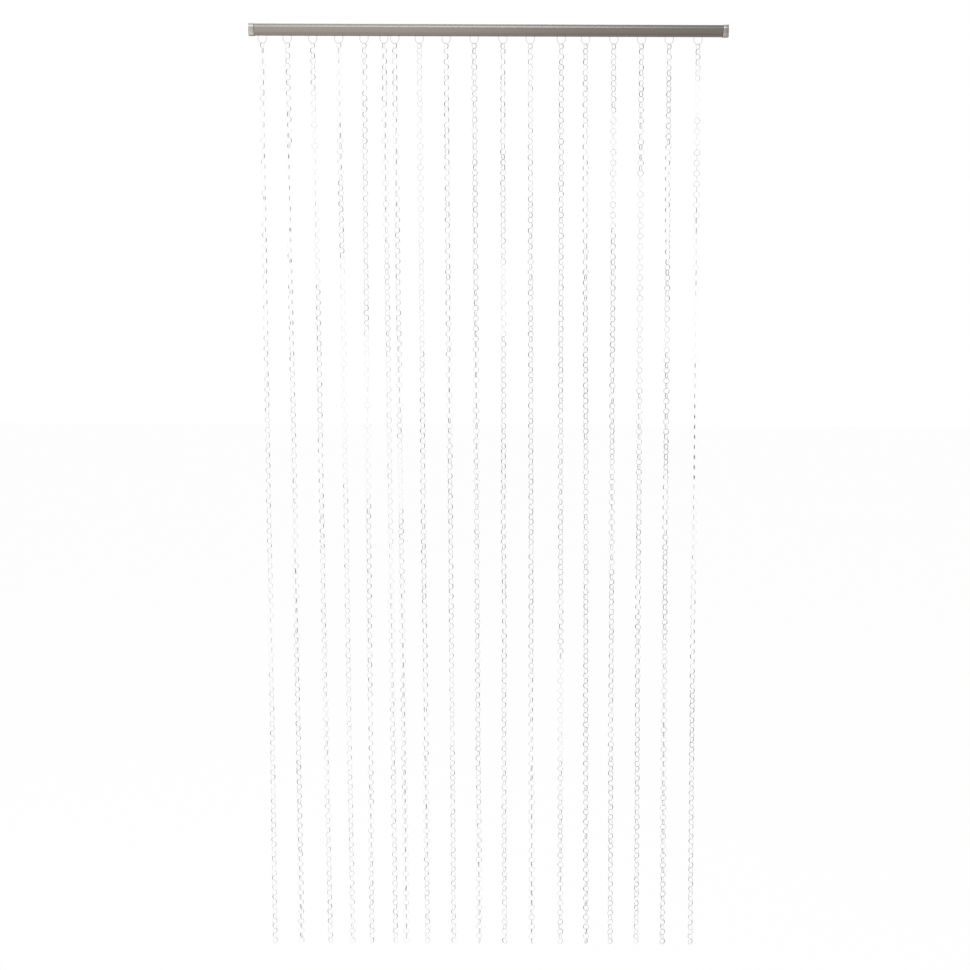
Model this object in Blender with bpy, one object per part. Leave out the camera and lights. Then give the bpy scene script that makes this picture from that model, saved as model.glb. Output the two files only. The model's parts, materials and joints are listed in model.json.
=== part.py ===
"""A bead curtain for a doorway: an aluminium head rail with a track inside it, eighteen gliders that slide
in the track, and a strand of clear plastic rings hanging from each glider's bow."""

import math

import bmesh
import bpy
from mathutils import Matrix, Vector

# Every size is in metres. The origin is the middle of the rail's top face, X runs along the rail, Z is up,
# and the curtain is looked at along +Y, so the rail's front is at -Y.

# The head rail is an aluminium extrusion, open below along its slot.
RAIL_LENGTH = 1.0  # over both end caps
RAIL_HEIGHT = 0.0237
RAIL_DEPTH = 0.018
RAIL_WALL = 0.0014
RAIL_EDGE = 0.0008  # the small chamfer along its edges
BROW_HEIGHT = 0.0038  # the strip above the shoulder
BROW_LEAN = 0.0003  # how much further back its upper edge is
SHOULDER_HEIGHT = 0.0028  # the sloping strip that catches the light
SHOULDER_SET_BACK = 0.0022
SKIRT_HEIGHT = 0.0068  # the strip that leans back under the flat front
SKIRT_SET_BACK = 0.0008
SLOT_WIDTH = 0.0052
LIP_THICKNESS = 0.0016  # the two lips that the gliders ride on
TRACK_HEIGHT = 0.0034  # from the lips to the guide ribs
RIB_REACH = 0.0028
RIB_THICKNESS = 0.0012
SCREW_HOLE_DIAMETER = 0.0045
SCREW_HOLE_SIDES = 12
SCREW_PLACE_SHARE = 0.36  # of the rail's length, each way from its middle

# The end caps are moulded sleeves, flush with the rail's back, with a plug that goes in above the track.
CAP_PLATE = 0.002
CAP_WALL = 0.0006
CAP_LENGTH = 0.0102  # at the top
CAP_FLARE = 0.0017  # how much longer the sleeve is at the bottom
CAP_GAP = 0.0003
PLUG_LENGTH = 0.010
PLUG_HOLLOW = 0.0020  # the wall left around the plug's hollow

# A glider is one clear moulding: a shoe that rides in the track, and a bow below the slot.
BOW_WIDTH = 0.0190  # over its arms
BOW_WIRE = 0.0018
BOW_DROP = 0.0170  # from the rail's underside to the lowest point
BOW_SHOULDER = 0.0078  # how far the arms run straight down out of the slot
BOW_TIP_RADIUS = 0.0074
BOW_TIP_STEPS = 8
SHOE_OVERHANG = 0.0004  # how far the shoe reaches past each arm
SHOE_WIDTH = 0.0108
SHOE_THICKNESS = 0.0022
SHOE_CORNER = 0.0016
RUNNING_GAP = 0.0003

# The rings. Each hangs in the one above it, turned a quarter turn.
LINK_DIAMETER = 0.0139
LINK_WIRE = 0.00149
LINKS_PER_STRAND = 179  # with the separate top link
LINK_GAP = 0.0003
LINKS_SHOWN_ABOVE = 4  # true rings under the top link
LINKS_SHOWN_BELOW = 3  # true rings at the hem
STRAND_SIDES = 3
STRAND_SEGMENTS = 8
TOP_LINK_SIDES = 4
TOP_LINK_SEGMENTS = 10

# Where the gliders stand, as shares of the rail's length from its left end, and how far each strand drifts
# to the right on its way down, as shares of its length.
GLIDER_PLACE_SHARES = (
    0.0280, 0.0801, 0.1333, 0.1875, 0.2402, 0.2817, 0.3044, 0.3557, 0.4117,
    0.4700, 0.5299, 0.5872, 0.6517, 0.7026, 0.7615, 0.8192, 0.8770, 0.9371,
)  # fmt: skip
DRIFT_SHARES = (
    0.0034, 0.0066, 0.0124, 0.0097, 0.0048, 0.0105, 0.0111, 0.0085, 0.0100,
    0.0089, 0.0069, 0.0084, 0.0077, 0.0109, 0.0080, 0.0080, 0.0081, 0.0090,
)  # fmt: skip

OVERRUN = 0.002  # how far a cutter reaches past what it cuts

# Derived sizes.
TRACK_HALF = RAIL_DEPTH / 2 - SKIRT_SET_BACK - RAIL_WALL
TRACK_FLOOR = -RAIL_HEIGHT + LIP_THICKNESS
RIB_LOW = TRACK_FLOOR + TRACK_HEIGHT
RIB_TOP = RIB_LOW + RIB_THICKNESS
CAP_GROWTH = CAP_GAP + CAP_WALL
EXTRUSION_LENGTH = RAIL_LENGTH - 2 * (CAP_PLATE + CAP_GAP)
BOW_TIP = -RAIL_HEIGHT - BOW_DROP + BOW_WIRE / 2  # the middle of the wire, at its lowest
SHOE_UNDER = TRACK_FLOOR + RUNNING_GAP
SHOE_LENGTH = BOW_WIDTH + 2 * SHOE_OVERHANG


def section_radius(sides):
    """Middle to corner of a polygon with as much area as the ring's round wire."""
    return LINK_WIRE / 2 * math.sqrt(2 * math.pi / (sides * math.sin(2 * math.pi / sides)))


def ring_radii(sides):
    """Radius to the middle of the wire, and to the corner that points inwards."""
    corner = section_radius(sides)
    reach = corner if sides % 2 == 0 else corner * math.cos(math.pi / sides)
    middle = LINK_DIAMETER / 2 - reach
    return middle, middle - corner


TOP_LINK_MIDDLE, TOP_LINK_BORE = ring_radii(TOP_LINK_SIDES)
STRAND_MIDDLE, STRAND_BORE = ring_radii(STRAND_SIDES)
LINK_PITCH = LINK_DIAMETER - 2 * LINK_WIRE
TOP_LINK_CENTRE = BOW_TIP + BOW_WIRE / 2 + LINK_GAP - TOP_LINK_BORE
SWAY_PIVOT = TOP_LINK_CENTRE - TOP_LINK_MIDDLE  # the middle of the wire that carries the strand
FIRST_RING = TOP_LINK_MIDDLE - TOP_LINK_BORE + LINK_GAP - STRAND_BORE  # above that pivot
RINGS = LINKS_PER_STRAND - 1
STRAND_LENGTH = (RINGS - 1) * LINK_PITCH + LINK_DIAMETER


def clear_scene():
    for old in list(bpy.data.objects):
        bpy.data.objects.remove(old, do_unlink=True)


def collection(name):
    made = bpy.data.collections.new(name)
    bpy.context.scene.collection.children.link(made)
    return made


def material(name, colour, roughness, metallic=0.0, alpha=1.0):
    made = bpy.data.materials.new(name)
    made.use_nodes = True
    shader = made.node_tree.nodes["Principled BSDF"]
    shader.inputs["Base Color"].default_value = (*colour, 1.0)
    shader.inputs["Roughness"].default_value = roughness
    shader.inputs["Metallic"].default_value = metallic
    shader.inputs["Alpha"].default_value = alpha
    made.diffuse_color = (*colour, 1.0)
    return made


def to_mesh(obj, doubles=RAIL_EDGE / 10000):
    """The evaluated object as a new mesh object in world space, in place of the first."""
    graph = bpy.context.evaluated_depsgraph_get()
    mesh = bpy.data.meshes.new_from_object(obj.evaluated_get(graph))
    mesh.transform(obj.matrix_world)
    shape = bmesh.new()
    shape.from_mesh(mesh)
    bmesh.ops.remove_doubles(shape, verts=shape.verts, dist=doubles)
    bmesh.ops.recalc_face_normals(shape, faces=shape.faces)
    shape.to_mesh(mesh)
    shape.free()
    name, home = obj.name, obj.users_collection[0]
    bpy.data.objects.remove(obj, do_unlink=True)
    made = bpy.data.objects.new(name, mesh)
    home.objects.link(made)
    return made


def extruded(name, outline, low, high, turn, home):
    """A flat outline given as pairs, drawn out from low to high across its own plane."""
    curve = bpy.data.curves.new(name, "CURVE")
    curve.dimensions = "2D"
    curve.fill_mode = "BOTH"
    curve.extrude = (high - low) / 2
    line = curve.splines.new("POLY")
    line.points.add(len(outline) - 1)
    for point, (u, v) in zip(line.points, outline):
        point.co = (u, v, 0, 1)
    line.use_cyclic_u = True
    obj = bpy.data.objects.new(name, curve)
    obj.matrix_world = turn @ Matrix.Translation((0, 0, (low + high) / 2))
    home.objects.link(obj)
    bpy.context.view_layer.update()
    return to_mesh(obj)


def quarter_turns(*axes):
    made = Matrix.Identity(4)
    for axis in axes:
        made = made @ Matrix.Rotation(math.radians(90), 4, axis)
    return made


# An outline's own X, Y and Z run along the part's Y, Z and X, or along its X, Z and -Y.
ALONG_RAIL = quarter_turns("Z", "X")
FACING_FRONT = quarter_turns("X")
FLAT = Matrix.Identity(4)


def boolean(obj, cutter, operation):
    cut = obj.modifiers.new(f"{operation.lower()}_{cutter.name}", "BOOLEAN")
    cut.operation = operation
    cut.object = cutter
    cut.solver = "EXACT"


def as_tool(obj):
    obj.hide_render = True
    obj.display_type = "WIRE"
    return obj


def shade(obj, angle=35.0):
    obj.data.shade_smooth()
    obj.data.set_sharp_from_angle(angle=math.radians(angle))


def offset(points, by):
    """A closed outline grown outwards by the same distance all round. It runs anticlockwise."""
    grown = []
    for n, here in enumerate(points):
        before, after = Vector(points[n - 1]), Vector(points[(n + 1) % len(points)])
        here = Vector(here)
        come, go = (here - before).normalized(), (after - here).normalized()
        out = Vector((come.y + go.y, -come.x - go.x)).normalized()
        grown.append(tuple(here + out * by / out.dot(Vector((go.y, -go.x)))))
    return grown


# The head rail


def rail_outer():
    """The rail's outside as (y, z) pairs, anticlockwise seen from the right, from the slot's back edge."""
    front, back = -RAIL_DEPTH / 2, RAIL_DEPTH / 2
    low, slot = -RAIL_HEIGHT, SLOT_WIDTH / 2
    skirt, brow = front + SKIRT_SET_BACK, front + SHOULDER_SET_BACK
    return [
        (slot, low),
        (back - RAIL_EDGE, low),
        (back, low + RAIL_EDGE),
        (back, -RAIL_EDGE),
        (back - RAIL_EDGE, 0),
        (brow + BROW_LEAN + RAIL_EDGE, 0),
        (brow + BROW_LEAN, -RAIL_EDGE),
        (brow, -BROW_HEIGHT),
        (front, -BROW_HEIGHT - SHOULDER_HEIGHT),
        (front, low + SKIRT_HEIGHT),
        (skirt, low + RAIL_EDGE),
        (skirt + RAIL_EDGE, low),
        (-slot, low),
    ]


def rail_inner():
    """The channel inside, as (y, z) pairs, from the slot's front edge round to its back edge."""
    slot, lip = SLOT_WIDTH / 2, TRACK_FLOOR
    front, back = -RAIL_DEPTH / 2 + RAIL_WALL, RAIL_DEPTH / 2 - RAIL_WALL
    rib = TRACK_HALF - RIB_REACH
    return [
        (-slot, lip),
        (-TRACK_HALF, lip),
        (-TRACK_HALF, RIB_LOW),
        (-rib, RIB_LOW),
        (-rib, RIB_TOP),
        (front, RIB_TOP),
        (front, -BROW_HEIGHT - SHOULDER_HEIGHT),
        (front + SHOULDER_SET_BACK, -BROW_HEIGHT),
        (front + SHOULDER_SET_BACK, -RAIL_WALL),
        (back, -RAIL_WALL),
        (back, RIB_TOP),
        (rib, RIB_TOP),
        (rib, RIB_LOW),
        (TRACK_HALF, RIB_LOW),
        (TRACK_HALF, lip),
        (slot, lip),
    ]


def head_rail(home, tools, finish):
    half = EXTRUSION_LENGTH / 2
    rail = extruded("head_rail", rail_outer() + rail_inner(), -half, half, ALONG_RAIL, home)
    for name, side in (("screw_hole_left", -1), ("screw_hole_right", 1)):
        bpy.ops.mesh.primitive_cylinder_add(
            vertices=SCREW_HOLE_SIDES,
            radius=SCREW_HOLE_DIAMETER / 2,
            depth=RAIL_WALL + 2 * OVERRUN,
            location=(side * SCREW_PLACE_SHARE * RAIL_LENGTH, 0, -RAIL_WALL / 2),
        )
        hole = bpy.context.object
        hole.name = name
        for old in hole.users_collection:
            old.objects.unlink(hole)
        tools.objects.link(hole)
        boolean(rail, as_tool(hole), "DIFFERENCE")
    rail.data.materials.append(finish)
    return rail


# The end caps


def end_cap(name, side, home, tools, finish):
    """side is -1 for the left cap and 1 for the right one. The sleeve is made on the right and mirrored."""
    end = RAIL_LENGTH / 2
    outer = [p for p in rail_outer() if abs(p[0]) != SLOT_WIDTH / 2]
    longest = CAP_LENGTH + CAP_FLARE

    def piece(part, outline, low, high, turn=ALONG_RAIL, home=tools):
        made = extruded(part, outline, low, high, turn, home)
        if side < 0:
            made.data.transform(Matrix.Scale(-1, 4, (1, 0, 0)))
            made.data.flip_normals()
        return made

    cap = piece(name, offset(outer, CAP_GROWTH), end - longest, end, home=home)
    room = piece(f"{name}_room", offset(outer, CAP_GAP), end - longest - OVERRUN, end - CAP_PLATE)
    top, bottom = CAP_GROWTH, -RAIL_HEIGHT - CAP_GROWTH
    slope = CAP_FLARE / (top - bottom)
    slant = [
        (end - CAP_LENGTH + slope * OVERRUN, top + OVERRUN),
        (end - longest - 2 * OVERRUN, top + OVERRUN),
        (end - longest - 2 * OVERRUN, bottom - OVERRUN),
        (end - longest - slope * OVERRUN, bottom - OVERRUN),
    ]
    reach = RAIL_DEPTH / 2 + CAP_GROWTH + OVERRUN
    wedge = piece(f"{name}_slant", slant, -reach, reach, FACING_FRONT)
    slot = SLOT_WIDTH / 2
    notch = piece(
        f"{name}_notch",
        [
            (slot, bottom - OVERRUN),
            (slot, -RAIL_HEIGHT + OVERRUN),
            (-slot, -RAIL_HEIGHT + OVERRUN),
            (-slot, bottom - OVERRUN),
        ],
        end - longest - OVERRUN,
        end - CAP_PLATE,
    )
    # behind the rail nothing stands proud, so that it can lie on a wall
    behind = RAIL_DEPTH / 2
    flush = piece(
        f"{name}_flush",
        [
            (behind, bottom - OVERRUN),
            (behind + CAP_GROWTH + OVERRUN, bottom - OVERRUN),
            (behind + CAP_GROWTH + OVERRUN, top + OVERRUN),
            (behind, top + OVERRUN),
        ],
        end - longest - OVERRUN,
        end + OVERRUN,
    )
    front = -RAIL_DEPTH / 2 + RAIL_WALL + SHOULDER_SET_BACK + CAP_GAP
    back = RAIL_DEPTH / 2 - RAIL_WALL - CAP_GAP
    low, high = RIB_TOP + CAP_GAP, -RAIL_WALL - CAP_GAP
    plug = piece(
        f"{name}_plug",
        [(front, low), (back, low), (back, high), (front, high)],
        end - CAP_PLATE - PLUG_LENGTH,
        end - CAP_PLATE / 2,
    )
    wall = PLUG_HOLLOW
    hollow = piece(
        f"{name}_hollow",
        [
            (front + wall, low + wall),
            (back - wall, low + wall),
            (back - wall, high - wall),
            (front + wall, high - wall),
        ],
        end - CAP_PLATE - PLUG_LENGTH - OVERRUN,
        end - CAP_PLATE,
    )
    for tool, operation in (
        (room, "DIFFERENCE"),
        (wedge, "DIFFERENCE"),
        (notch, "DIFFERENCE"),
        (flush, "DIFFERENCE"),
        (plug, "UNION"),
        (hollow, "DIFFERENCE"),
    ):
        boolean(cap, as_tool(tool), operation)
    cap.data.materials.append(finish)
    return cap


# The gliders


def bow_line():
    """The middle line of the bow's wire as (x, z) pairs: two arms that lean in to a round tip."""
    arm = (BOW_WIDTH - BOW_WIRE) / 2
    knee = Vector((arm, -RAIL_HEIGHT - BOW_SHOULDER))
    centre = Vector((0, BOW_TIP + BOW_TIP_RADIUS))
    to_knee = knee - centre
    # the arm is the tangent from the knee to the tip's circle
    spread = math.acos(BOW_TIP_RADIUS / to_knee.length)
    first = math.atan2(to_knee.y, to_knee.x) - spread
    sweep = -math.pi - 2 * first
    arc = [first + sweep * n / BOW_TIP_STEPS for n in range(BOW_TIP_STEPS + 1)]
    tip = [
        (BOW_TIP_RADIUS * math.cos(a), centre.y + BOW_TIP_RADIUS * math.sin(a)) for a in arc
    ]
    top = SHOE_UNDER + SHOE_THICKNESS / 2
    return [(arm, top), tuple(knee), *tip, (-arm, knee.y), (-arm, top)]


def bow(tools):
    curve = bpy.data.curves.new("bow", "CURVE")
    curve.dimensions = "3D"
    curve.bevel_depth = BOW_WIRE / 2
    curve.bevel_resolution = 1
    curve.use_fill_caps = True
    points = bow_line()
    line = curve.splines.new("POLY")
    line.points.add(len(points) - 1)
    for point, (x, z) in zip(line.points, points):
        point.co = (x, 0, z, 1)
    obj = bpy.data.objects.new("bow", curve)
    tools.objects.link(obj)
    return to_mesh(obj)


def rounded_plate(length, width, corner, steps=2):
    outline = []
    for n, (sx, sy) in enumerate(((1, -1), (1, 1), (-1, 1), (-1, -1))):
        for k in range(steps + 1):
            turn = math.radians(90) * (n - 1 + k / steps)
            outline.append(
                (
                    sx * (length / 2 - corner) + corner * math.cos(turn),
                    sy * (width / 2 - corner) + corner * math.sin(turn),
                )
            )
    return outline


def glider_mesh(tools):
    """The shoe with its bow, standing at X zero."""
    shoe = extruded(
        "shoe",
        rounded_plate(SHOE_LENGTH, SHOE_WIDTH, SHOE_CORNER),
        SHOE_UNDER,
        SHOE_UNDER + SHOE_THICKNESS,
        FLAT,
        tools,
    )
    return fused("glider", [shoe, bow(tools)])


def fused(name, pieces):
    """One mesh from overlapping closed pieces, which are used up."""
    first = pieces[0]
    for other in pieces[1:]:
        boolean(first, other, "UNION")
    bpy.context.view_layer.update()
    graph = bpy.context.evaluated_depsgraph_get()
    mesh = bpy.data.meshes.new_from_object(first.evaluated_get(graph))
    mesh.name = name
    for piece in pieces:
        bpy.data.objects.remove(piece, do_unlink=True)
    return mesh


# The rings


def ring(name, sides, segments, across, centre, home):
    """A ring that hangs at height centre. across is True for a ring edge-on to the viewer."""
    middle, _ = ring_radii(sides)
    shape = bmesh.new()
    # a section in the XZ plane with one corner pointing at the ring's axis, which is Y
    section = bmesh.ops.create_circle(shape, segments=sides, radius=section_radius(sides))
    corner = math.atan2(section["verts"][0].co.y, section["verts"][0].co.x)
    turn = Matrix.Rotation(math.pi - corner, 4, "Z")
    bmesh.ops.transform(shape, matrix=Matrix.Translation((middle, 0, 0)) @ turn, verts=shape.verts)
    bmesh.ops.spin(
        shape,
        geom=shape.verts[:] + shape.edges[:],
        axis=(0, 1, 0),
        cent=(0, 0, 0),
        angle=2 * math.pi,
        steps=segments,
        use_merge=True,
    )
    bmesh.ops.remove_doubles(shape, verts=shape.verts, dist=LINK_WIRE / 1000)
    bmesh.ops.recalc_face_normals(shape, faces=shape.faces)
    mesh = bpy.data.meshes.new(name)
    shape.to_mesh(mesh)
    shape.free()
    facing = Matrix.Rotation(math.radians(90), 4, "Z") if across else FLAT
    mesh.transform(Matrix.Translation((0, 0, centre)) @ facing)
    obj = bpy.data.objects.new(name, mesh)
    home.objects.link(obj)
    return obj


def ring_height(n):
    """The middle of ring n of a strand, above the sway pivot."""
    return FIRST_RING - n * LINK_PITCH


def run_of_rings(name, first, last, tools):
    """Two crossed strips with the outline, the reach and the weight of rings first to last."""
    volume = math.pi * (LINK_WIRE / 2) ** 2 * math.pi * (LINK_DIAMETER - LINK_WIRE)
    thickness = volume / LINK_PITCH / (2 * LINK_DIAMETER)
    half = LINK_DIAMETER / 2
    flat = half * math.tan(math.pi / STRAND_SEGMENTS)
    strips = []
    for n, m in ((first, last), (first + 1, last - 1)):
        top, bottom = ring_height(n) + half, ring_height(m) - half
        outline = [
            (half, bottom + half - flat),
            (half, top - half + flat),
            (flat, top),
            (-flat, top),
            (-half, top - half + flat),
            (-half, bottom + half - flat),
            (-flat, bottom),
            (flat, bottom),
        ]
        turn = ALONG_RAIL if n % 2 else FACING_FRONT
        strips.append(
            extruded(f"{name}_{n}", outline, -thickness / 2, thickness / 2, turn, tools)
        )
    return strips


def strand_mesh(tools):
    """The rings of a strand below its top link, about the sway pivot."""
    low = RINGS - LINKS_SHOWN_BELOW
    shown = [*range(LINKS_SHOWN_ABOVE), *range(low, RINGS)]
    rings = {
        n: ring(
            f"ring_{n:03d}", STRAND_SIDES, STRAND_SEGMENTS, n % 2 == 1, ring_height(n), tools
        )
        for n in shown
    }
    above = [rings[n] for n in range(LINKS_SHOWN_ABOVE)]
    below = [rings[n] for n in range(low, RINGS)]
    strips = run_of_rings("run", LINKS_SHOWN_ABOVE, low - 1, tools)
    return fused("strand", above + strips + below)


def glider_places():
    """Each glider stands at its share of the rail, or against the one before it on a rail too short for that."""
    places = []
    for share in GLIDER_PLACE_SHARES:
        place = (share - 1 / 2) * RAIL_LENGTH
        if places:
            place = max(place, places[-1] + SHOE_LENGTH + RUNNING_GAP)
        places.append(place)
    return places


def build():
    clear_scene()
    parts = collection("bead_curtain")
    tools = collection("cutters")

    aluminium = material("satin_aluminium", (0.29, 0.27, 0.24), 0.38, metallic=1.0)
    cap_plastic = material("cap_plastic", (0.47, 0.46, 0.44), 0.5)
    glider_plastic = material("glider_plastic", (0.86, 0.88, 0.88), 0.15, alpha=0.45)
    ring_plastic = material("ring_plastic", (0.80, 0.82, 0.83), 0.08, alpha=0.5)

    shade(head_rail(parts, tools, aluminium))
    shade(end_cap("end_cap_left", -1, parts, tools, cap_plastic))
    shade(end_cap("end_cap_right", 1, parts, tools, cap_plastic))

    glider = glider_mesh(tools)
    glider.materials.append(glider_plastic)
    strand = strand_mesh(tools)
    strand.materials.append(ring_plastic)
    link = ring("top_link", TOP_LINK_SIDES, TOP_LINK_SEGMENTS, True, TOP_LINK_CENTRE, tools)
    # the link's mesh is about the bow's tip, which is the axis that it swings on
    link.data.transform(Matrix.Translation((0, 0, -BOW_TIP)))
    link_mesh = link.data
    link_mesh.materials.append(ring_plastic)
    bpy.data.objects.remove(link, do_unlink=True)

    for n, (x, drift) in enumerate(zip(glider_places(), DRIFT_SHARES), start=1):
        for name, mesh, height, lean in (
            ("glider", glider, 0, 0),
            ("top_link", link_mesh, BOW_TIP, 0),
            ("strand", strand, SWAY_PIVOT, -math.atan(drift)),
        ):
            obj = bpy.data.objects.new(f"{name}_{n:02d}", mesh)
            obj.location = (x, 0, height)
            obj.rotation_euler = (0, lean, 0)
            parts.objects.link(obj)
            shade(obj)
    bpy.context.view_layer.update()


build()
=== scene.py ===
import json
import math
import random

import bmesh
import bpy
from mathutils import Matrix, Vector


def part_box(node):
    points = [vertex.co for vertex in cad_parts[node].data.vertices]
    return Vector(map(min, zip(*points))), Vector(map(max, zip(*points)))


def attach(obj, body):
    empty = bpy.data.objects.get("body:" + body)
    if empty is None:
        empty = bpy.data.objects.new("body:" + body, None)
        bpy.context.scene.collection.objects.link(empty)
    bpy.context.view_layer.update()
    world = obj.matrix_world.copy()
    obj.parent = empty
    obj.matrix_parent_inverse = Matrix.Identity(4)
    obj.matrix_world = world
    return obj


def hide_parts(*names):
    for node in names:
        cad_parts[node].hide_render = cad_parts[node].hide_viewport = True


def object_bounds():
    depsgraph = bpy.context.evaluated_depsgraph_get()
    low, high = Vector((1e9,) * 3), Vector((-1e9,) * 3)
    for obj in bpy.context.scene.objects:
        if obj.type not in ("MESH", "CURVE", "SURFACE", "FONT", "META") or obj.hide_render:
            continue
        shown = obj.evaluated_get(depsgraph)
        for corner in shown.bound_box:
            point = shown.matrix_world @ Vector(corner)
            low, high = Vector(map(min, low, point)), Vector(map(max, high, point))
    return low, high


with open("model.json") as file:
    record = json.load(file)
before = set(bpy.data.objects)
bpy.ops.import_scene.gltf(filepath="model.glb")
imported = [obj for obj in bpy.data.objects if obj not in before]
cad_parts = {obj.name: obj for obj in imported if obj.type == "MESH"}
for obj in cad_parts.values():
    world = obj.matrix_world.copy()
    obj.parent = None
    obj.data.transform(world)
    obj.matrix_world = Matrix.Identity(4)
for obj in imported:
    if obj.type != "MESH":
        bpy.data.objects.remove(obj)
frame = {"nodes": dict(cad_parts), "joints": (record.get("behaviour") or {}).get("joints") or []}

cad_box = [list(corner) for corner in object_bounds()]

# The camera
# The photograph is taken from a little over four metres away with a long lens, from well below the rail,
# and it looks slightly down at the strands. The picture is turned by a fifth of a degree.

PICTURE_SIDE = 970
FOCAL_PIXELS = 1928
EYE = Vector((-0.004, -4.1083, -0.4311))
DOWNWARD_DEGREES = 7.443
ROLL_DEGREES = 0.203

lens = bpy.data.cameras.new("camera")
lens.sensor_fit = "HORIZONTAL"
lens.lens = FOCAL_PIXELS / PICTURE_SIDE * lens.sensor_width
camera = bpy.data.objects.new("camera", lens)
camera.matrix_world = (
    Matrix.Translation(EYE)
    @ Matrix.Rotation(math.radians(90 - DOWNWARD_DEGREES), 4, "X")
    @ Matrix.Rotation(math.radians(ROLL_DEGREES), 4, "Z")
)
bpy.context.scene.collection.objects.link(camera)
bpy.context.scene.camera = camera


# The rail
# A satin anodised aluminium extrusion, open below along its slot, with the gliders' track inside. Its front
# has an upright lip along the top, a sloping shoulder, a flat face and a skirt that leans back.

RAIL_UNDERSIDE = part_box("head_rail")[0][2]
RAIL_EDGE_RADIUS = 0.00035
RAIL_COLOUR = (0.157, 0.144, 0.129)
RAIL_STREAK_COLOUR = (0.189, 0.174, 0.156)
STREAK_STRETCH = (2.0, 400.0, 400.0)  # drawn out along the rail
CLOUD_STRETCH = (6.0, 30.0, 30.0)
STREAK_SHARE = 0.7  # of the colour's changes, and the rest is cloud
STREAK_DEPTH = 0.000004
RAIL_ROUGHNESS = 0.5
RAIL_ROUGHNESS_SPREAD = 0.08
# Painted shade: the skirt is coloured darker and warmer than the face.
SKIRT_PAINTED_SHADE = (0.95, 0.83, 0.81)
SKIRT_HEIGHT = 0.0068  # over the rail's underside
SKIRT_FADE_DOWN = 0.003
SKIRT_FADE_UP = 0.001
EDGE_PAINTED_LIGHT = (1.18, 1.18, 1.19)  # painted light, lighter along the lower edge
EDGE_HEIGHT = 0.0018  # over the rail's underside
EDGE_FADE = 0.0006
CROWN_HIGHLIGHT_TINT = (0.98, 1.01, 1.03)  # painted highlight colour, cooler on the shoulder and the lip above it where the top lamp's highlight falls
CROWN_HEIGHT = 0.0066  # under the rail's top face
CROWN_FADE = 0.0005
RAIL_CREASE = 40  # degrees, above which an edge stays sharp in the shading

WELD_DISTANCE = 0.000015
FLAT_WITHIN = 2  # degrees between faces that are one flat face
LEAST_EDGE_TURN = 15  # degrees between faces whose edge is rounded
EDGE_STEPS = 2


class Output:
    """A node's output socket, with arithmetic on its values."""

    def __init__(self, nodes, socket):
        self.nodes, self.socket = nodes, socket

    def _maths(self, operation, *values):
        return self.nodes.node("ShaderNodeMath", {"operation": operation}, *values)

    @property
    def z(self):
        """The height of a point."""
        return self.nodes.node("ShaderNodeSeparateXYZ", None, self, output="Z")

    def __add__(self, other):
        return self._maths("ADD", self, other)

    def __sub__(self, other):
        return self._maths("SUBTRACT", self, other)

    def __rsub__(self, other):
        return self._maths("SUBTRACT", other, self)

    def __mul__(self, other):
        return self._maths("MULTIPLY", self, other)

    __radd__ = __add__
    __rmul__ = __mul__


class Nodes:
    """The nodes of a material or of the world, added one call at a time."""

    def __init__(self, tree):
        self.tree = tree

    def feed(self, socket, value):
        """Sets a socket to a number or a colour, or links an output to it."""
        if isinstance(value, Output):
            self.tree.links.new(value.socket, socket)
        elif socket.type == "RGBA":
            socket.default_value = (*value, 1.0)
        else:
            socket.default_value = value

    def node(self, kind, settings=None, *values, output=0, **named):
        """Adds a node: its settings first, then its sockets by order or by name."""
        made = self.tree.nodes.new(kind)
        for name, value in (settings or {}).items():
            if name == "stops":
                for element, (place, level) in zip(made.color_ramp.elements, value):
                    element.position, element.color = place, (level, level, level, 1.0)
            else:
                setattr(made, name, value)
        for socket, value in zip(made.inputs, values):
            self.feed(socket, value)
        for name, value in named.items():
            self.feed(made.inputs[name.replace("_", " ")], value)
        return Output(self, made.outputs[output])


class Finish(Nodes):
    """A material with its Principled shader."""

    def __init__(self, name, roughness, metallic=0.0, **sockets):
        self.material = bpy.data.materials.new(name)
        self.material.use_nodes = True
        super().__init__(self.material.node_tree)
        self.shader = self.tree.nodes["Principled BSDF"]
        self.set(Roughness=roughness, Metallic=metallic, **sockets)

    def set(self, **sockets):
        for name, value in sockets.items():
            self.feed(self.shader.inputs[name.replace("_", " ")], value)

    def place(self, scale=(1.0, 1.0, 1.0)):
        """The point on the object, multiplied by scale."""
        here = self.node("ShaderNodeTexCoord", output="Object")
        return self.node("ShaderNodeMapping", None, Vector=here, Scale=scale)

    def attribute(self, name):
        """A value that the mesh carries at its points."""
        return self.node("ShaderNodeAttribute", {"attribute_name": name}, output="Fac")

    def rim(self, blend):
        """0 where a surface faces the viewer, 1 where it turns away at its outline."""
        return self.node("ShaderNodeLayerWeight", None, Blend=blend, output="Facing")

    def noise(self, point, scale, detail=2.0):
        return self.node("ShaderNodeTexNoise", None, Vector=point, Scale=scale, Detail=detail)

    def ramp(self, factor, *stops):
        return self.node("ShaderNodeValToRGB", {"stops": stops}, factor)

    def step(self, value, low, high):
        """Goes smoothly from 0 to 1 as the value goes from low to high."""
        return self.node(
            "ShaderNodeMapRange", {"interpolation_type": "SMOOTHSTEP"}, value, low, high
        )

    def blend(self, factor, first, second, how="MIX"):
        """A colour that goes from first to second."""
        mix = {"data_type": "RGBA", "blend_type": how}
        colour_result = 2
        return self.node(
            "ShaderNodeMix", mix, Factor=factor, A=first, B=second, output=colour_result
        )

    def bump(self, height, distance):
        self.set(Normal=self.node("ShaderNodeBump", None, Height=height, Distance=distance))


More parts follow.
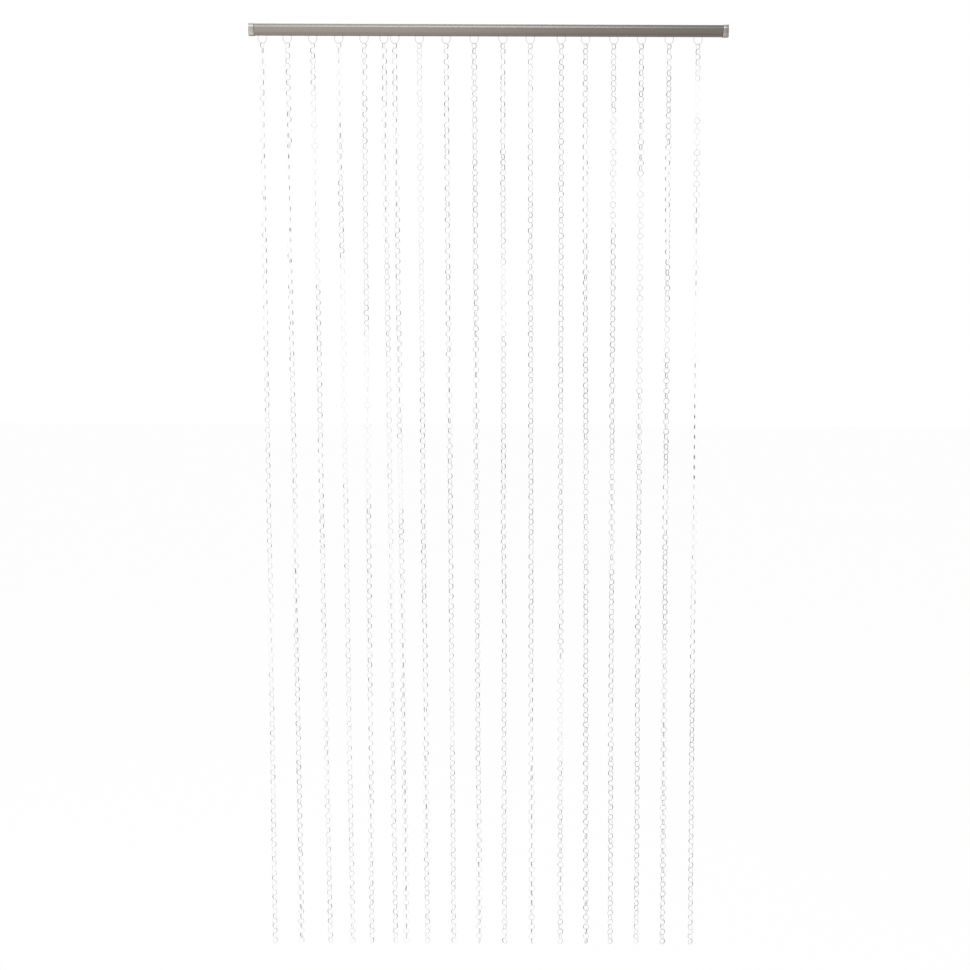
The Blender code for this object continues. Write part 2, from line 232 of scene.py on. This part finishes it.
def finished(name, shape, finish, body, replaced, crease):
    """Makes the piece from its bmesh, smooths it up to the crease angle and ties it to its body."""
    mesh = bpy.data.meshes.new(name)
    shape.to_mesh(mesh)
    shape.free()
    mesh.materials.append(finish.material)
    mesh.shade_smooth()
    mesh.set_sharp_from_angle(angle=math.radians(crease))
    piece = bpy.data.objects.new(name, mesh)
    bpy.context.scene.collection.objects.link(piece)
    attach(piece, body)
    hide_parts(replaced)


def rounded(shape, edges, radius, steps):
    bmesh.ops.bevel(
        shape,
        geom=edges,
        offset=radius,
        segments=steps,
        profile=0.5,
        affect="EDGES",
        clamp_overlap=True,
        material=-1,
    )


def softened(node, radius):
    """The CAD node's shape with its flat faces whole again and its edges rounded."""
    shape = bmesh.new()
    shape.from_mesh(frame["nodes"][node].data)
    bmesh.ops.remove_doubles(shape, verts=shape.verts, dist=WELD_DISTANCE)
    bmesh.ops.dissolve_limit(
        shape, angle_limit=math.radians(FLAT_WITHIN), verts=shape.verts[:], edges=shape.edges[:]
    )
    least_turn = math.radians(LEAST_EDGE_TURN)
    edges = [edge for edge in shape.edges if abs(edge.calc_face_angle(0)) > least_turn]
    rounded(shape, edges, radius, EDGE_STEPS)
    bmesh.ops.recalc_face_normals(shape, faces=shape.faces)
    return shape


anodised = Finish("satin_anodised_aluminium", RAIL_ROUGHNESS, metallic=1.0)
streaks = anodised.noise(anodised.place(STREAK_STRETCH), scale=1.0, detail=3.0)
cloud = anodised.noise(anodised.place(CLOUD_STRETCH), scale=1.0)
height = anodised.place().z
skirt_shade_top = RAIL_UNDERSIDE + SKIRT_HEIGHT
off_skirt_shade = anodised.step(height, skirt_shade_top - SKIRT_FADE_DOWN, skirt_shade_top + SKIRT_FADE_UP)
edge_light_top = RAIL_UNDERSIDE + EDGE_HEIGHT
off_edge_light = anodised.step(height, edge_light_top - EDGE_FADE, edge_light_top + EDGE_FADE)
crown_highlight = anodised.step(height, -CROWN_HEIGHT - CROWN_FADE, -CROWN_HEIGHT + CROWN_FADE)
changes = streaks * STREAK_SHARE + cloud * (1 - STREAK_SHARE)
tone_and_painted_light = anodised.blend(changes, RAIL_COLOUR, RAIL_STREAK_COLOUR)
# painted shade on the skirt, kept off the lower edge
tone_and_painted_light = anodised.blend((1 - off_skirt_shade) * off_edge_light, tone_and_painted_light, SKIRT_PAINTED_SHADE, how="MULTIPLY")
# painted light along the lower edge
tone_and_painted_light = anodised.blend(1 - off_edge_light, tone_and_painted_light, EDGE_PAINTED_LIGHT, how="MULTIPLY")
# a cooler painted highlight colour on the shoulder and lip
anodised.set(
    Base_Color=anodised.blend(crown_highlight, tone_and_painted_light, CROWN_HIGHLIGHT_TINT, how="MULTIPLY"),
    Roughness=RAIL_ROUGHNESS - RAIL_ROUGHNESS_SPREAD / 2 + streaks * RAIL_ROUGHNESS_SPREAD,
)
anodised.bump(streaks, STREAK_DEPTH)

finished(
    "extruded_rail",
    softened("head_rail", RAIL_EDGE_RADIUS),
    anodised,
    "rail",
    "head_rail",
    RAIL_CREASE,
)


# The end caps
# Moulded sleeves with a silvery skin, one pushed over each end of the rail, with a slanted inner edge.
# The plastic has a fine matt grain from its mould. Painted light makes it paler towards the bottom and
# painted shade darker towards the top.

CAP_EDGE_RADIUS = 0.0003
# Painted light and shade: the caps are coloured paler towards the bottom and darker towards the top.
CAP_LIT_COLOUR = (0.33, 0.325, 0.31)
CAP_SHADED_COLOUR = (0.2, 0.197, 0.19)
CAP_SHADE_HEIGHT = 0.012  # over the rail's underside, where the painted shade is full
CAP_METALLIC = 0.9
CAP_ROUGHNESS = 0.45
CAP_ROUGHNESS_SPREAD = 0.1
CAP_GRAIN_SCALE = 2600.0
CAP_GRAIN_DEPTH = 0.00001
MOTTLE_SCALE = 160.0
MOTTLE_SHARE = 0.3
CAP_CREASE = 40

cap_plastic = Finish("silvered_cap_plastic", CAP_ROUGHNESS, metallic=CAP_METALLIC)
grain = cap_plastic.noise(cap_plastic.place(), CAP_GRAIN_SCALE, detail=3.0)
mottle = cap_plastic.noise(cap_plastic.place(), MOTTLE_SCALE)
# painted shade, growing upwards from the rail's underside, with painted light below it
shaded_above = cap_plastic.step(cap_plastic.place().z, RAIL_UNDERSIDE, RAIL_UNDERSIDE + CAP_SHADE_HEIGHT)
pale = (1 - shaded_above) * (1 - MOTTLE_SHARE) + mottle * MOTTLE_SHARE
cap_plastic.set(
    Base_Color=cap_plastic.blend(pale, CAP_SHADED_COLOUR, CAP_LIT_COLOUR),
    Roughness=CAP_ROUGHNESS - CAP_ROUGHNESS_SPREAD / 2 + grain * CAP_ROUGHNESS_SPREAD,
)
cap_plastic.bump(grain, CAP_GRAIN_DEPTH)

for side in ("left", "right"):
    finished(
        f"end_sleeve_{side}",
        softened(f"end_cap_{side}", CAP_EDGE_RADIUS),
        cap_plastic,
        "rail",
        f"end_cap_{side}",
        CAP_CREASE,
    )


# The gliders
# One clear moulding each: a shoe that rides on the rail's two lips, and a bow of round wire that comes down
# through the slot, leans in from both sides and carries the chain in its tip. Some bows hang twisted.

SHOE_THICKNESS = 0.0022
SHOE_OVERHANG = 0.0004  # past the bow, at each end
SHOE_CORNER = 0.0016
SHOE_CORNER_STEPS = 4
SHOE_EDGE = 0.0004
SHOE_EDGE_STEPS = 2
BOW_WIDTH = 0.0190
BOW_WIRE = 0.0018
BOW_WIRE_SIDES = 8
BOW_SHOULDER = 0.0078  # from the rail's underside to where the arms lean in
BOW_DROP = 0.0170  # from the rail's underside to the tip's lowest point
KNEE_RADIUS = 0.0030
KNEE_STEPS = 4
TIP_RADIUS = 0.0074
TIP_STEPS = 8
BOW_TWISTS = (4, -7, 10, 14, -12, 40, -9, 6, -5, 8, 30, -10, 7, -4, 9, -6, 5, -3)  # degrees at the tip
GLIDER_CREASE = 40

CLEAR_ROUGHNESS = 0.12
CLEAR_IOR = 1.49
MOULDING_SHADE = (0.30, 0.31, 0.30)
MOULDING_COLOUR = (0.50, 0.51, 0.50)
MOULDING_ALPHA = 0.16
MOULDING_RIM_ALPHA = 0.5
MOULDING_RIM_BLEND = 0.45
RIPPLE_SCALE = 420.0
RIPPLE_DEPTH = 0.00006

clear_moulding = Finish("clear_glider_moulding", CLEAR_ROUGHNESS, IOR=CLEAR_IOR)
ripple = clear_moulding.noise(clear_moulding.place(), RIPPLE_SCALE)
clear_moulding.set(
    Base_Color=clear_moulding.blend(ripple, MOULDING_SHADE, MOULDING_COLOUR),
    Alpha=MOULDING_ALPHA + clear_moulding.rim(MOULDING_RIM_BLEND) * MOULDING_RIM_ALPHA,
)
clear_moulding.bump(ripple, RIPPLE_DEPTH)


def wire_run(shape, end, step):
    """Draws the wire's open end on by a straight step and gives the new end."""
    new = bmesh.ops.extrude_edge_only(shape, edges=end)["geom"]
    moved = [v for v in new if isinstance(v, bmesh.types.BMVert)]
    bmesh.ops.translate(shape, verts=moved, vec=step)
    edges = [e for e in new if isinstance(e, bmesh.types.BMEdge)]
    return [e for e in edges if all(v in moved for v in e.verts)]


def wire_bend(shape, end, centre, angle, steps):
    """Turns the wire's open end about a line along Y through centre, and gives the new end."""
    rounds = {v for e in end for v in e.verts}
    turned = bmesh.ops.spin(
        shape, geom=list(rounds) + end, cent=centre, axis=(0, 1, 0), angle=angle, steps=steps
    )["geom_last"]
    return [e for e in turned if isinstance(e, bmesh.types.BMEdge)]


def glider_shape(x, shoe_low, shoe_high, twist):
    """The shoe between two corners of its box, and the bow under it, at x along the rail."""
    shape = bmesh.new()
    lengths = Vector(shoe_high) - Vector(shoe_low)
    middle = (Vector(shoe_high) + Vector(shoe_low)) / 2
    shoe = bmesh.ops.create_cube(shape, size=1.0)["verts"]
    bmesh.ops.scale(shape, vec=lengths, verts=shoe)
    uprights = [e for e in shape.edges if e.verts[0].co.xy == e.verts[1].co.xy]
    rounded(shape, uprights, SHOE_CORNER, SHOE_CORNER_STEPS)
    rims = [e for e in shape.edges if e.verts[0].co.z * e.verts[1].co.z > 0]
    rounded(shape, rims, SHOE_EDGE, SHOE_EDGE_STEPS)
    bmesh.ops.translate(shape, verts=shape.verts, vec=middle)
    # the bow's slanted run touches the outside of the knee's circle and of the tip's
    arm = (BOW_WIDTH - BOW_WIRE) / 2
    knee = RAIL_UNDERSIDE - BOW_SHOULDER
    tip_centre = RAIL_UNDERSIDE - BOW_DROP + BOW_WIRE / 2 + TIP_RADIUS
    apart = Vector((arm - KNEE_RADIUS, 0, knee - tip_centre))
    lean = math.acos((TIP_RADIUS - KNEE_RADIUS) / apart.length) - math.atan2(apart.z, apart.x)
    slant = math.sqrt(apart.length_squared - (TIP_RADIUS - KNEE_RADIUS) ** 2)
    run = slant * Vector((math.sin(lean), 0, -math.cos(lean)))
    # the bow, from the left arm's top round to the right arm's
    start = bmesh.ops.create_circle(shape, segments=BOW_WIRE_SIDES, radius=BOW_WIRE / 2)["verts"]
    bmesh.ops.translate(shape, verts=start, vec=(-arm, 0, middle.z))
    end = [e for e in shape.edges if e.verts[0] in start and e.verts[1] in start]
    first_end = list(end)
    end = wire_run(shape, end, Vector((0, 0, knee - middle.z)))
    end = wire_bend(shape, end, (KNEE_RADIUS - arm, 0, knee), -lean, KNEE_STEPS)
    end = wire_run(shape, end, run)
    end = wire_bend(shape, end, (0, 0, tip_centre), -(math.pi - 2 * lean), TIP_STEPS)
    end = wire_run(shape, end, Vector((run.x, 0, -run.z)))
    end = wire_bend(shape, end, (arm - KNEE_RADIUS, 0, knee), -lean, KNEE_STEPS)
    end = wire_run(shape, end, Vector((0, 0, middle.z - knee)))
    bmesh.ops.contextual_create(shape, geom=first_end)
    bmesh.ops.contextual_create(shape, geom=end)
    bmesh.ops.recalc_face_normals(shape, faces=shape.faces)
    # the part below the rail is twisted, more and more towards the tip
    for vert in shape.verts:
        share = (RAIL_UNDERSIDE - vert.co.z) / BOW_DROP
        if share > 0:
            vert.co = Matrix.Rotation(math.radians(twist) * share, 3, "Z") @ vert.co
    bmesh.ops.translate(shape, verts=shape.verts, vec=(x, 0, 0))
    return shape


def middle_of(node):
    low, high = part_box(node)
    return (Vector(low) + Vector(high)) / 2


strand_names = [f"{n:02d}" for n in range(1, len(BOW_TWISTS) + 1)]
shoe_reach = BOW_WIDTH / 2 + SHOE_OVERHANG

for name, twist in zip(strand_names, BOW_TWISTS):
    low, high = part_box(f"glider_{name}")
    shoe_low = (-shoe_reach, low[1], high[2] - SHOE_THICKNESS)
    shoe_high = (shoe_reach, high[1], high[2])
    finished(
        f"clear_glider_{name}",
        glider_shape(middle_of(f"glider_{name}").x, shoe_low, shoe_high, twist),
        clear_moulding,
        f"glider_body_{name}",
        f"glider_{name}",
        GLIDER_CREASE,
    )


# The chains
# Each strand is one chain of clear moulded rings, each hanging in the one above it and turned a quarter
# turn from it. The whole chain is twisted a little on its way down, so that a stretch shows its rings
# flat or edge-on.

RING_WIRE = 0.00149
RING_DIAMETER = 0.0139
RING_PITCH = RING_DIAMETER - 2 * RING_WIRE
RING_GAP = 0.0003  # between the top ring's wire and the next ring's
RING_SEGMENTS = 12
RING_SIDES = 5
RING_CREASE = 80
RINGS_PER_CHAIN = 178
# How far each chain is turned about its own length, in degrees, at equal steps from its top to its hem.
CHAIN_TURNS = (
    (80, 75, 62, -40, -45),
    (130, 75, 25, -40, -70),
    (-30, 30, 65, 72, 50),
    (100, 42, -38, -30, -60),
    (-62, -42, 28, 38, -38),
    (30, 95, 122, 125, 125, 100, 68, 60, 55),
    (-35, 42, -50, -110, -88),
    (-40, 45, 65, 25, -55),
    (-40, -32, 38, 44, 55),
    (122, 118, 62, 58, -15),
    (38, 55, 30, 36, 62, 30, 55, 58, 55),
    (-55, -30, -45, -22, 10),
    (-60, -62, -56, -38, -30, -65, -118, -118, -60),
    (-38, -30, -66, -35, -22),
    (-42, -78, -60, -28, -82, -50, -28, -56, -60),
    (-58, -75, -78, -75, -62, -28, -48, -62, -45),
    (-58, -30, -64, -78, -30, -66, -80, -76, -56),
    (-60, -88, -97, -97, -92, -42, -45, -50, -50),
)
# How dark the painted shade marks on its rings are at its top, its quarters and its hem.
CHAIN_PAINTED_SHADES = (
    (0.70, 0.80, 0.65, 0.50, 0.58),
    (0.75, 0.75, 0.70, 1.00, 1.05),
    (0.60, 0.45, 0.90, 0.50, 0.60),
    (0.50, 0.55, 0.60, 0.35, 0.50),
    (0.68, 0.52, 0.70, 0.75, 0.60),
    (0.70, 0.50, 0.30, 0.50, 0.45),
    (0.95, 0.80, 0.55, 0.80, 1.00),
    (0.35, 0.40, 1.05, 0.90, 0.45),
    (1.00, 1.00, 0.85, 0.50, 0.55),
    (0.50, 0.95, 0.45, 0.60, 0.75),
    (1.20, 0.50, 0.90, 0.55, 0.45),
    (0.50, 0.75, 0.80, 0.85, 0.85),
    (0.70, 0.70, 0.65, 0.40, 0.50),
    (0.70, 1.10, 0.70, 0.75, 1.20),
    (0.65, 0.85, 0.75, 0.95, 0.40),
    (1.00, 0.40, 0.90, 0.80, 0.45),
    (0.75, 0.95, 1.00, 0.65, 0.70),
    (0.65, 0.75, 1.10, 0.95, 0.55),
)
# Stretches that look unlike the rest of their chain: the chain, its first and last such ring, how much of
# their outlines shows, and how dark their painted shade marks are. The darkest have short painted shade marks
# on every second ring. In the palest the rings that are seen edge-on hardly show.
STRETCHES = (
    (1, 21, 54, 0.25, 1.05),
    (1, 100, 124, 0.60, 0.40),
    (2, 13, 61, 0.25, 1.10),
    (2, 88, 99, 0.70, 0.40),
    (2, 100, 125, 1.20, 1.00),
    (3, 0, 7, 0.90, 0.80),
    (3, 8, 19, 1.20, 0.20),
    (3, 20, 44, 0.60, 0.30),
    (3, 45, 74, 1.00, 0.80),
    (3, 75, 84, 0.35, 1.00),
    (3, 85, 97, 0.50, 1.60),
    (4, 0, 13, 0.60, 0.35),
    (4, 14, 39, 1.10, 0.80),
    (4, 40, 57, 0.50, 0.20),
    (4, 58, 82, 0.70, 0.15),
    (4, 83, 97, 0.50, 0.70),
    (5, 22, 40, 1.20, 0.40),
    (5, 55, 85, 0.60, 0.15),
    (5, 86, 115, 1.00, 0.85),
    (5, 127, 139, 0.40, 0.85),
    (6, 0, 15, 0.60, 0.85),
    (6, 39, 58, 1.10, 0.40),
    (6, 59, 105, 0.55, 0.30),
    (7, 0, 14, 0.60, 1.00),
    (7, 76, 88, 0.70, 0.15),
    (8, 0, 54, 1.15, 0.20),
    (8, 69, 111, 0.90, 1.10),
    (8, 112, 135, 0.45, 1.00),
    (9, 0, 58, 0.65, 1.05),
    (9, 118, 135, 0.70, 0.40),
    (11, 0, 15, 0.45, 1.20),
    (11, 41, 54, 0.80, 0.20),
    (11, 75, 118, 0.65, 1.20),
    (12, 0, 27, 0.60, 0.50),
    (12, 123, 139, 0.50, 0.90),
    (13, 119, 139, 0.70, 0.25),
    (14, 8, 13, 0.70, 0.90),
    (14, 14, 34, 0.15, 3.00),
    (14, 35, 54, 0.60, 1.40),
    (14, 80, 99, 0.90, 0.40),
    (15, 12, 32, 1.00, 0.20),
    (15, 78, 99, 1.00, 0.45),
    (15, 115, 135, 0.60, 1.05),
    (16, 0, 22, 1.00, 1.00),
    (16, 23, 65, 1.00, 0.20),
    (16, 102, 108, 0.30, 3.50),
    (16, 109, 130, 0.80, 1.10),
    (17, 18, 39, 0.12, 3.50),
    (17, 48, 57, 0.80, 0.25),
    (17, 82, 92, 0.20, 3.50),
    (17, 114, 131, 0.80, 0.40),
    (18, 6, 11, 0.30, 0.10),
    (18, 12, 27, 1.60, 0.20),
    (18, 28, 34, 1.30, 0.90),
    (18, 35, 46, 0.50, 0.50),
    (18, 47, 58, 0.15, 0.15),
    (18, 59, 67, 0.30, 1.40),
    (18, 68, 83, 0.20, 4.50),
    (18, 84, 105, 0.35, 0.45),
    (18, 106, 120, 0.30, 0.85),
    (18, 121, 139, 1.20, 1.10),
)
# How strongly the outlines of its rings show, at its top and at its hem. On most chains to the right they
# show more.
CHAIN_WEIGHTS = (
    (0.50, 0.50), (0.45, 0.55), (0.50, 0.55), (0.55, 0.50), (0.62, 0.62), (0.65, 0.62),
    (0.62, 0.60), (0.65, 0.60), (0.66, 0.66), (1.15, 0.75), (1.00, 0.75), (1.10, 0.80),
    (1.10, 0.90), (1.20, 1.00), (1.10, 1.00), (1.15, 1.00), (1.40, 1.15), (0.75, 0.85),
)
DARKEST = 1.8  # a stretch with darker painted shade marks than this has them on every second ring
MARK_BETWEEN = 0.8  # the painted shade mark of a ring between those
PALEST = 0.26  # in a stretch with fainter painted shade marks than this, an edge-on ring loses most of its outline
EDGE_ON_LOSS = 0.8
LOOSE_TURN = 7  # degrees either way, from ring to ring
LOOSE_LEAN = 3
TOP_RING_LEAST_TURN = 44  # degrees from flat to the viewer, so that it clears its bow when it swings
OUTLINE_SPREAD = (0.5, 1.4)  # from ring to ring
LEAST_MARK = 0.45
MARK_SPREAD = 1.2
CHANCE_SEED = 5

# How a ring's outline and its painted shade mark lie on it. Lengths are shares of its radius, out from its
# upright middle line.
OUTLINE_AT_MIDDLE = 0.8
OUTLINE_MORE_AT_LIMBS = 0.4
MARK_FROM = 0.35
MARK_FADE = 0.35
SHORTER_EDGE_ON = 0.25
SHORTER_WHEN_DARK = 0.3
DARK_KEPT_EDGE_ON = 0.22
REAR_FROM = 0.1
REAR_FADE = 0.3
MARK_FLAT = 0.6
MARK_MORE_EDGE_ON = 0.8
MOST_MARK = 1.8

# Painted shade: the dark marks that the clear rings show on their rear limbs are drawn in their colour and
# alpha.
RING_COLOUR = (0.40, 0.405, 0.41)
PAINTED_SHADE_COLOUR = (0.01, 0.01, 0.012)
RING_SPECULAR = 0.3
RING_RIM_BLEND = 0.4
OUTLINE_ALPHA = 0.19
OUTLINE_RIM_ALPHA = 0.20
PAINTED_SHADE_ALPHA = 0.9
PATCH_SCALE = 300.0
PATCH_STOPS = ((0.40, 0.0), (0.60, 1.0))
PATCHY_MARK = 0.4  # how much of the painted shade mark the patches take away
PATCHY_OUTLINE = 1.2  # how far the patches change the outline, from its least to its most

ring_plastic = Finish(
    "clear_ring_plastic", CLEAR_ROUGHNESS, IOR=CLEAR_IOR, Specular_IOR_Level=RING_SPECULAR
)
patches = ring_plastic.ramp(
    ring_plastic.noise(ring_plastic.place(), PATCH_SCALE, detail=1.0), *PATCH_STOPS
)
painted_shade = ring_plastic.attribute("painted_shade") * (1 - PATCHY_MARK + patches * PATCHY_MARK)
outline = ring_plastic.attribute("outline") * (1 - PATCHY_OUTLINE / 2 + patches * PATCHY_OUTLINE)
outline_alpha = OUTLINE_ALPHA + ring_plastic.rim(RING_RIM_BLEND) * OUTLINE_RIM_ALPHA
ring_plastic.set(
    Base_Color=ring_plastic.blend(painted_shade, RING_COLOUR, PAINTED_SHADE_COLOUR),
    Alpha=outline * outline_alpha + painted_shade * PAINTED_SHADE_ALPHA,
)


def one_ring():
    """A ring about the Y axis, facing the viewer."""
    shape = bmesh.new()
    section = bmesh.ops.create_circle(shape, segments=RING_SIDES, radius=RING_WIRE / 2)["verts"]
    bmesh.ops.translate(shape, verts=section, vec=((RING_DIAMETER - RING_WIRE) / 2, 0, 0))
    bmesh.ops.spin(
        shape,
        geom=shape.verts[:] + shape.edges[:],
        cent=(0, 0, 0),
        axis=(0, 1, 0),
        angle=2 * math.pi,
        steps=RING_SEGMENTS,
        use_merge=True,
    )
    bmesh.ops.recalc_face_normals(shape, faces=shape.faces)
    return shape


def smooth(share):
    share = min(max(share, 0.0), 1.0)
    return share * share * (3 - 2 * share)


def eased(values, share):
    """The value at this share of the way, eased from one given value to the next."""
    place = share * (len(values) - 1)
    n = min(int(place), len(values) - 2)
    return values[n] + (values[n + 1] - values[n]) * smooth(place - n)


def chain_of(rings):
    """One shape from a ring set down at each place. Its points carry how strongly the ring's outline shows
    there and how dark its painted shade is. The painted shade is a mark on the ring's rear limb, and a very
    dark ring that is seen edge-on has it on both limbs."""
    single = one_ring()
    mesh = bpy.data.meshes.new("ring")
    single.to_mesh(mesh)
    single.free()
    limbs = [vert.co.x * 2 / RING_DIAMETER for vert in mesh.vertices]
    shape = bmesh.new()
    outline = shape.verts.layers.float.new("outline")
    painted_shade = shape.verts.layers.float.new("painted_shade")
    for place, weight, strength in rings:
        mesh.transform(place)
        shape.from_mesh(mesh)
        mesh.transform(place.inverted())
        shape.verts.ensure_lookup_table()
        # painted shade: a ring seen edge-on has a short dark mark, one seen flat a long and fainter one
        rearward = place[1][0]
        edge_on = rearward * rearward
        darkness = min(max(strength - 1, 0), 1)
        painted_shade_there = min(strength * (MARK_FLAT + MARK_MORE_EDGE_ON * edge_on), MOST_MARK)
        shorter = darkness * (SHORTER_WHEN_DARK - DARK_KEPT_EDGE_ON * edge_on)
        shorter = SHORTER_EDGE_ON * edge_on + shorter
        for vert, limb in zip(shape.verts[-len(limbs) :], limbs):
            vert[outline] = weight * (OUTLINE_AT_MIDDLE + OUTLINE_MORE_AT_LIMBS * abs(limb) ** 3)
            on_limb = smooth((abs(limb) - MARK_FROM - shorter) / MARK_FADE)
            behind = smooth((limb * rearward - REAR_FROM) / REAR_FADE)
            vert[painted_shade] = painted_shade_there * on_limb * max(behind, darkness * edge_on)
    bpy.data.meshes.remove(mesh)
    return shape


chance = random.Random(CHANCE_SEED)
pivots = {joint["name"]: joint["pos_m"] for joint in frame["joints"] if "sway_" in joint["name"]}

for name, turns, painted_shades, weights in zip(strand_names, CHAIN_TURNS, CHAIN_PAINTED_SHADES, CHAIN_WEIGHTS):
    # the top ring is turned on from the next one by a quarter, but kept clear of its bow
    degrees = turns[0] % 180 - 90
    degrees = math.copysign(max(abs(degrees), TOP_RING_LEAST_TURN), degrees)
    turn = Matrix.Rotation(math.radians(degrees), 4, "Z")
    place = Matrix.Translation(middle_of(f"top_link_{name}")) @ turn
    finished(
        f"top_ring_{name}",
        chain_of([(place, weights[0], painted_shades[0])]),
        ring_plastic,
        f"link_body_{name}",
        f"top_link_{name}",
        RING_CREASE,
    )
    # the chain hangs from its pivot towards the middle of the CAD strand
    low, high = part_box(f"strand_{name}")
    pivot = Vector(pivots[f"sway_{name}"])
    drift = (high[0] + low[0] - 2 * pivot.x) / (pivot.z - low[2] + pivot.z - high[2])
    down = Vector((drift, 0, -1)).normalized()
    # its first ring passes over the top ring's wire, which is centred on the pivot
    first = pivot + down * (RING_DIAMETER / 2 - RING_WIRE * 1.5 - RING_GAP)
    stretches = [stretch[1:] for stretch in STRETCHES if stretch[0] == int(name)]
    rings = []
    for n in range(RINGS_PER_CHAIN):
        share = n / (RINGS_PER_CHAIN - 1)
        degrees = eased(turns, share) + 90 * (n % 2) + chance.uniform(-LOOSE_TURN, LOOSE_TURN)
        lean = math.radians(chance.uniform(-LOOSE_LEAN, LOOSE_LEAN))
        shown = chance.uniform(*OUTLINE_SPREAD)
        dark = LEAST_MARK + MARK_SPREAD * chance.random() ** 2
        place = (
            Matrix.Translation(first + down * n * RING_PITCH)
            @ Matrix.Rotation(math.radians(degrees), 4, "Z")
            @ Matrix.Rotation(lean, 4, "X")
        )
        weight, strength = eased(weights, share), eased(painted_shades, share)
        for first_ring, last_ring, outline_there, painted_shade_there in stretches:
            if first_ring <= n <= last_ring:
                between = painted_shade_there > DARKEST and n % 2
                weight, strength = weight * outline_there, MARK_BETWEEN if between else painted_shade_there
                if painted_shade_there < PALEST:
                    weight *= 1 - EDGE_ON_LOSS * math.sin(math.radians(degrees)) ** 2
        rings.append((place, weight * shown, strength * dark))
    finished(
        f"ring_chain_{name}",
        chain_of(rings),
        ring_plastic,
        f"strand_body_{name}",
        f"strand_{name}",
        RING_CREASE,
    )


# The studio
# A white floor just under the hem and a white world behind it. Soft lamps stand in front: the larger one
# to the left, which leaves the rail's right end darker, and one above for the rail's sloping shoulder.

FLOOR_GAP = 0.03
FLOOR_REACH = 12.0
FLOOR_COLOUR = (0.9, 0.9, 0.9)
FLOOR_ROUGHNESS = 0.6
FLOOR_WHITE_SHARE = 0.97  # of the floor where the camera looks, and the rest shows its light and shade
WORLD_COLOUR = (1.0, 1.0, 1.0)
WORLD_LIGHT = 0.5  # its strength as light, which is 1 where the camera looks


def watched(nodes):
    """1 where the camera looks, also by way of a glossy or a clear surface, and 0 for other light."""
    larger = {"operation": "MAXIMUM"}
    seen = nodes.node("ShaderNodeLightPath", output="Is Camera Ray")
    mirrored = nodes.node("ShaderNodeLightPath", output="Is Glossy Ray")
    through = nodes.node("ShaderNodeLightPath", output="Is Transmission Ray")
    indirect = nodes.node("ShaderNodeMath", larger, mirrored, through)
    return nodes.node("ShaderNodeMath", larger, seen, indirect)


floor_finish = Finish("pale_floor", FLOOR_ROUGHNESS, Base_Color=FLOOR_COLOUR)
surface = Output(floor_finish, floor_finish.shader.outputs["BSDF"])
glow = floor_finish.node("ShaderNodeEmission", None, Strength=1.0)
whitened = floor_finish.node(
    "ShaderNodeMixShader", None, watched(floor_finish) * FLOOR_WHITE_SHARE, surface, glow
)
floor_finish.feed(floor_finish.tree.nodes["Material Output"].inputs["Surface"], whitened)

ground = bmesh.new()
bmesh.ops.create_grid(ground, x_segments=1, y_segments=1, size=FLOOR_REACH)
bmesh.ops.translate(ground, verts=ground.verts, vec=(0, 0, cad_box[0][2] - FLOOR_GAP))
ground_mesh = bpy.data.meshes.new("floor")
ground.to_mesh(ground_mesh)
ground.free()
ground_mesh.materials.append(floor_finish.material)
floor = bpy.data.objects.new("floor", ground_mesh)
bpy.context.scene.collection.objects.link(floor)

world = bpy.data.worlds.new("studio")
bpy.context.scene.world = world
world.use_nodes = True
sky = Nodes(world.node_tree)
background = sky.tree.nodes["Background"]
sky.feed(background.inputs["Color"], WORLD_COLOUR)
sky.feed(background.inputs["Strength"], WORLD_LIGHT + watched(sky) * (1 - WORLD_LIGHT))


def lamp(name, place, aim, size, power):
    light = bpy.data.lights.new(name, "AREA")
    light.shape = "RECTANGLE"
    light.size, light.size_y = size
    light.energy = power
    held = bpy.data.objects.new(name, light)
    held.location = place
    held.rotation_euler = (Vector(aim) - Vector(place)).to_track_quat("-Z", "Y").to_euler()
    held.visible_camera = False
    bpy.context.scene.collection.objects.link(held)


lamp("front_lamp", place=(-1.5, -2.2, 0.23), aim=(-1.5, 0, 0.23), size=(3.2, 3.0), power=45)
lamp("top_lamp", place=(-0.5, -0.70, 1.8), aim=(-0.5, 0, 0), size=(2.5, 1.2), power=56)

bpy.context.scene.view_settings.view_transform = "Standard"

bpy.context.view_layer.update()
